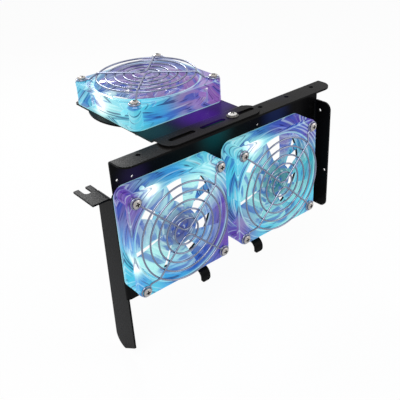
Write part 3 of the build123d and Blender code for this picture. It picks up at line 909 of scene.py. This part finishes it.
screw_tree, group_in, group_out = new_group(
    "pan_head_screws", "GeometryNodeTree",
    [
        ("Places", "NodeSocketGeometry", None),
        ("Head radius", "NodeSocketFloat", 2.7 * MM),
        ("Head height", "NodeSocketFloat", 1.5 * MM),
        ("Crown", "NodeSocketFloat", 0.7 * MM),
        ("Recess length", "NodeSocketFloat", 2.9 * MM),
        ("Recess width", "NodeSocketFloat", 0.8 * MM),
        ("Recess depth", "NodeSocketFloat", 1.0 * MM),
        ("Shank radius", "NodeSocketFloat", 1.7 * MM),
        ("Shank length", "NodeSocketFloat", 19.9 * MM),
        ("Thread pitch", "NodeSocketFloat", 0.8 * MM),
        ("Thread depth", "NodeSocketFloat", 0.28 * MM),
        ("Metal", "NodeSocketMaterial", None),
        ("Recess shade metal", "NodeSocketMaterial", None),
    ],
    [("Screws", "NodeSocketGeometry")],
)


def calc(operation, *sources):
    """Add a Math node to the screws' tree; a word stands for one of the tree's own inputs."""
    sources = [(group_in, source) if isinstance(source, str) else source for source in sources]
    return maths(screw_tree, operation, *sources)


place_now = add_node(screw_tree, "GeometryNodeInputPosition")
axes = axes_of(screw_tree, (place_now, "Position"))
square = calc("MULTIPLY", (axes, "X"), (axes, "X"))
from_axis = calc("SQRT", calc("MULTIPLY_ADD", (axes, "Y"), (axes, "Y"), square))
side_height = calc("SUBTRACT", "Head height", "Crown")
print("screw tree started")

# %% [markdown]
# The head's crown is a parabola over its radius, added to the cylinder's top only. The recess is
# a Boolean of two bars, centred on the top so that they reach down by their full depth.

# %% Tree: head and recess of a screw
head = add_node(
    screw_tree, "GeometryNodeMeshCylinder",
    {
        "Vertices": HEAD_SIDES, "Side Segments": 1, "Fill Segments": HEAD_RINGS,
        "Radius": (group_in, "Head radius"), "Depth": side_height,
    },
)
radius_share = calc("DIVIDE", from_axis, "Head radius")
fall = calc("MULTIPLY", radius_share, radius_share)
lift = calc("MULTIPLY", calc("SUBTRACT", 1.0, fall), "Crown")
above = calc("GREATER_THAN", (axes, "Z"), 0.0)
raise_by = calc("MULTIPLY_ADD", lift, above, calc("MULTIPLY", side_height, 0.5))
crowned = add_node(
    screw_tree, "GeometryNodeSetPosition",
    {"Geometry": (head, "Mesh"), "Offset": vector_of(screw_tree, Z=raise_by)},
)
double_depth = calc("MULTIPLY", "Recess depth", 2.0)
bars = []
for long_way, short_way in (("X", "Y"), ("Y", "X")):
    sides = {long_way: (group_in, "Recess length"), short_way: (group_in, "Recess width")}
    bar_size = vector_of(screw_tree, **sides, Z=double_depth)
    bars.append((add_node(screw_tree, "GeometryNodeMeshCube", {"Size": bar_size}), "Mesh"))
cutter = add_node(
    screw_tree, "GeometryNodeTransform",
    {
        "Geometry": together(screw_tree, *bars),
        "Translation": vector_of(screw_tree, Z=(group_in, "Head height")),
    },
)
cut = add_node(
    screw_tree, "GeometryNodeMeshBoolean",
    {"Mesh 1": (crowned, "Geometry"), "Mesh 2": (cutter, "Geometry"), "Self Intersection": True},
    operation="DIFFERENCE", solver="EXACT",
)
recess_top = calc("MULTIPLY_ADD", "Recess depth", -RECESS_TOP_SHARE, "Head height")
recess_floor = calc("MULTIPLY_ADD", "Recess depth", -RECESS_FLOOR_SHARE, "Head height")
low_enough = calc("LESS_THAN", (axes, "Z"), recess_top)
high_enough = calc("GREATER_THAN", (axes, "Z"), recess_floor)
near_axis = calc("LESS_THAN", from_axis, calc("MULTIPLY", "Recess length", RECESS_REACH_SHARE))
in_recess = calc("MULTIPLY", calc("MULTIPLY", low_enough, high_enough), near_axis)
marked = add_node(
    screw_tree, "GeometryNodeStoreNamedAttribute",
    {"Geometry": (cut, "Mesh"), "Name": "recess", "Value": in_recess},
    data_type="BOOLEAN", domain="FACE",
)
print("head and recess ready")

# %% [markdown]
# The shank is a cylinder with two rings to each turn of the thread. A ping-pong of the depth
# below the head goes from 0 to 1 and back, and pulls every second ring in.

# %% Tree: shank, copies and metals of a screw
half_turn = calc("MULTIPLY", "Thread pitch", 0.5)
ring_number = calc("ROUND", calc("DIVIDE", "Shank length", half_turn))
shank = add_node(
    screw_tree, "GeometryNodeMeshCylinder",
    {
        "Vertices": SHANK_SIDES, "Side Segments": ring_number, "Fill Segments": 1,
        "Radius": (group_in, "Shank radius"), "Depth": (group_in, "Shank length"),
    },
)
below_head = calc("SUBTRACT", calc("MULTIPLY", "Shank length", 0.5), (axes, "Z"))
ring_gap = calc("DIVIDE", "Shank length", ring_number)
wave = calc("DIVIDE", calc("PINGPONG", below_head, ring_gap), ring_gap)
pull = calc("DIVIDE", calc("MULTIPLY", wave, "Thread depth"), "Shank radius")
narrow = calc("SUBTRACT", 1.0, pull)
thread_place = vector_of(
    screw_tree,
    X=calc("MULTIPLY", (axes, "X"), narrow),
    Y=calc("MULTIPLY", (axes, "Y"), narrow),
    Z=calc("MULTIPLY_ADD", "Shank length", -0.5, (axes, "Z")),
)
threaded = add_node(
    screw_tree, "GeometryNodeSetPosition", {"Geometry": (shank, "Mesh"), "Position": thread_place},
)
whole = together(screw_tree, (marked, "Geometry"), (threaded, "Geometry"))
copies = add_node(
    screw_tree, "GeometryNodeInstanceOnPoints",
    {"Points": (group_in, "Places"), "Instance": whole},
)
real_screws = add_node(
    screw_tree, "GeometryNodeRealizeInstances", {"Geometry": (copies, "Instances")},
)
bright = add_node(
    screw_tree, "GeometryNodeSetMaterial",
    {"Geometry": (real_screws, "Geometry"), "Material": (group_in, "Metal")},
)
# The marked recess takes the darker metal, as painted shade in the hollow.
recess_mark = add_node(
    screw_tree, "GeometryNodeInputNamedAttribute", {"Name": "recess"}, data_type="BOOLEAN",
)
dark = add_node(
    screw_tree, "GeometryNodeSetMaterial",
    {
        "Geometry": (bright, "Geometry"),
        "Selection": (recess_mark, "Attribute"),
        "Material": (group_in, "Recess shade metal"),
    },
)
join(screw_tree, dark, "Geometry", group_out, "Screws")
print("pan_head_screws has", len(screw_tree.nodes), "nodes")

# %% [markdown]
# Each fan has four screws at its corner holes, with their heads on the guard's loops, and one
# brighter screw clamps the sliding plate. The tree is given a mesh of loose points for their
# places. The clamp's length and place come from its solid's box.

# %% Screws of the fans and the clamp
SCREW_LEVEL = WIRE
CLAMP_HEAD_HEIGHT = 2.0 * MM
SCREW_METALS = {"Metal": SCREW_PLATE, "Recess shade metal": SCREW_RECESS_SHADE}


def point_mesh(places):
    """Return a mesh of loose points."""
    mesh = bpy.data.meshes.new("screw_places")
    mesh.from_pydata(places, [], [])
    return mesh


half_holes = HOLE_PITCH / 2
hole_places = [(x * half_holes, y * half_holes, SCREW_LEVEL) for x in (-1, 1) for y in (-1, 1)]
for fan in FANS:
    screw_mesh = grow("fan_screws", point_mesh(hole_places), screw_tree, SCREW_METALS)
    place_piece(
        f"{fan}_pan_screws", screw_mesh, fan_place[fan], FAN_BODY[fan],
        node=f"{fan}_screws",
    )
clamp_low, clamp_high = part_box("clamp_screw")
clamp_middle = (clamp_low + clamp_high) / 2
clamp_base = Vector((clamp_middle.x, clamp_middle.y, clamp_high.z - CLAMP_HEAD_HEIGHT))
clamp_values = {
    "Head radius": 2.75 * MM,
    "Head height": CLAMP_HEAD_HEIGHT,
    "Crown": 1.1 * MM,
    "Shank radius": 1.4 * MM,
    "Shank length": clamp_base.z - clamp_low.z,
    "Thread depth": 0.2 * MM,
    "Metal": CLAMP_PLATE,
    "Recess shade metal": SCREW_RECESS_SHADE,
}
clamp_mesh = grow("clamp_screw", point_mesh([(0, 0, 0)]), screw_tree, clamp_values)
place_piece(
    "clamp_pan_screw", clamp_mesh, Matrix.Translation(clamp_base), "frame",
    node="clamp_screw",
)

# %% [markdown]
# The world gives pale, even light, and is white where the camera, glossy metal or clear plastic
# looks into it. Light Path tells these rays apart, so that the white doesn't light the object.

# %% World
ROOM_LIGHT = 0.5

world = bpy.data.worlds.new("studio")
world.use_nodes = True
bpy.context.scene.world = world
world_tree = world.node_tree
world_tree.nodes.clear()
seen = add_node(world_tree, "ShaderNodeBackground", {"Color": (1, 1, 1, 1), "Strength": 1.0})
lit = add_node(
    world_tree, "ShaderNodeBackground", {"Color": (0.96, 0.98, 1, 1), "Strength": ROOM_LIGHT},
)
rays = add_node(world_tree, "ShaderNodeLightPath")
through = maths(world_tree, "MAXIMUM", (rays, "Is Camera Ray"), (rays, "Is Transmission Ray"))
shows_white = maths(world_tree, "MAXIMUM", through, (rays, "Is Glossy Ray"))
choose = add_node(
    world_tree, "ShaderNodeMixShader",
    {0: shows_white, 1: (lit, "Background"), 2: (seen, "Background")},
)
add_node(world_tree, "ShaderNodeOutputWorld", {"Surface": (choose, "Shader")})
print("world ready")

# %% [markdown]
# Soft studio light: one large key above and to the left of the camera, and a weaker fill from
# the right. A small lamp behind the object stands where the level faces at its left end mirror
# it towards the camera, which gives the black paint its sheen there.

# %% Lamps
KEY_PLACE = Vector((-0.6, -0.5, 1.1))
FILL_PLACE = Vector((0.8, -0.7, 0.4))
SHEEN_DISTANCE = 0.6
TAB_MIDDLE = 10.0 * MM


def area_light(name, place, target, size, power):
    """Add a soft square lamp at a place, turned towards a target."""
    data = bpy.data.lights.new(name, "AREA")
    data.size = size
    data.energy = power
    lamp = bpy.data.objects.new(name, data)
    bpy.context.scene.collection.objects.link(lamp)
    lamp.location = place
    lamp.rotation_euler = (Vector(target) - Vector(place)).to_track_quat("-Z", "Y").to_euler()
    print(name, "lamp", power, "W")


cad_low, cad_high = Vector(cad_box[0]), Vector(cad_box[1])
middle = (cad_low + cad_high) / 2
area_light("key", middle + KEY_PLACE, middle, size=0.8, power=9.0)
area_light("fill", middle + FILL_PLACE, middle, size=0.8, power=2.5)
tab_corner = Vector((cad_low.x, TAB_MIDDLE, 0.0))
mirrored = (tab_corner - CAMERA_PLACE).normalized()
mirrored.z = abs(mirrored.z)
area_light("sheen", tab_corner + mirrored * SHEEN_DISTANCE, tab_corner, size=0.14, power=0.85)

# %% [markdown]
# The floor is a plain pale sheet that the camera sees almost white: most of what it sees is a
# white glow, and the rest is the matt sheet, which still takes the soft shadow.

# %% Floor
FLOOR_SIZE = 4.0
FLOOR_GAP = 0.2 * MM
FLOOR_GLOW_SHARE = 0.93

floor_mesh = bpy.data.meshes.new("floor")
floor_maker = bmesh.new()
bmesh.ops.create_grid(floor_maker, x_segments=1, y_segments=1, size=FLOOR_SIZE)
floor_maker.to_mesh(floor_mesh)
floor_maker.free()
floor = bpy.data.objects.new("floor", floor_mesh)
floor.location = (middle.x, middle.y, cad_low.z - FLOOR_GAP)
bpy.context.scene.collection.objects.link(floor)
floor_material, floor_tree, floor_shader = new_material("pale_floor")
floor_shader.inputs["Base Color"].default_value = (0.9, 0.9, 0.9, 1)
floor_shader.inputs["Roughness"].default_value = 0.9
floor_shader.inputs["Specular IOR Level"].default_value = 0.0
floor_glow = add_node(floor_tree, "ShaderNodeEmission", {"Color": (1, 1, 1, 1), "Strength": 1.0})
floor_rays = add_node(floor_tree, "ShaderNodeLightPath")
glow_share = maths(floor_tree, "MULTIPLY", (floor_rays, "Is Camera Ray"), FLOOR_GLOW_SHARE)
floor_mix = add_node(
    floor_tree, "ShaderNodeMixShader",
    {0: glow_share, 1: (floor_shader, "BSDF"), 2: (floor_glow, "Emission")},
)
join(floor_tree, floor_mix, "Shader", floor_tree.nodes["Material Output"], "Surface")
floor_mesh.materials.append(floor_material)
print("floor at", round(floor.location.z, 4))

# %% [markdown]
# The last step brings the view layer up to date.

# %% Finish
bpy.context.view_layer.update()
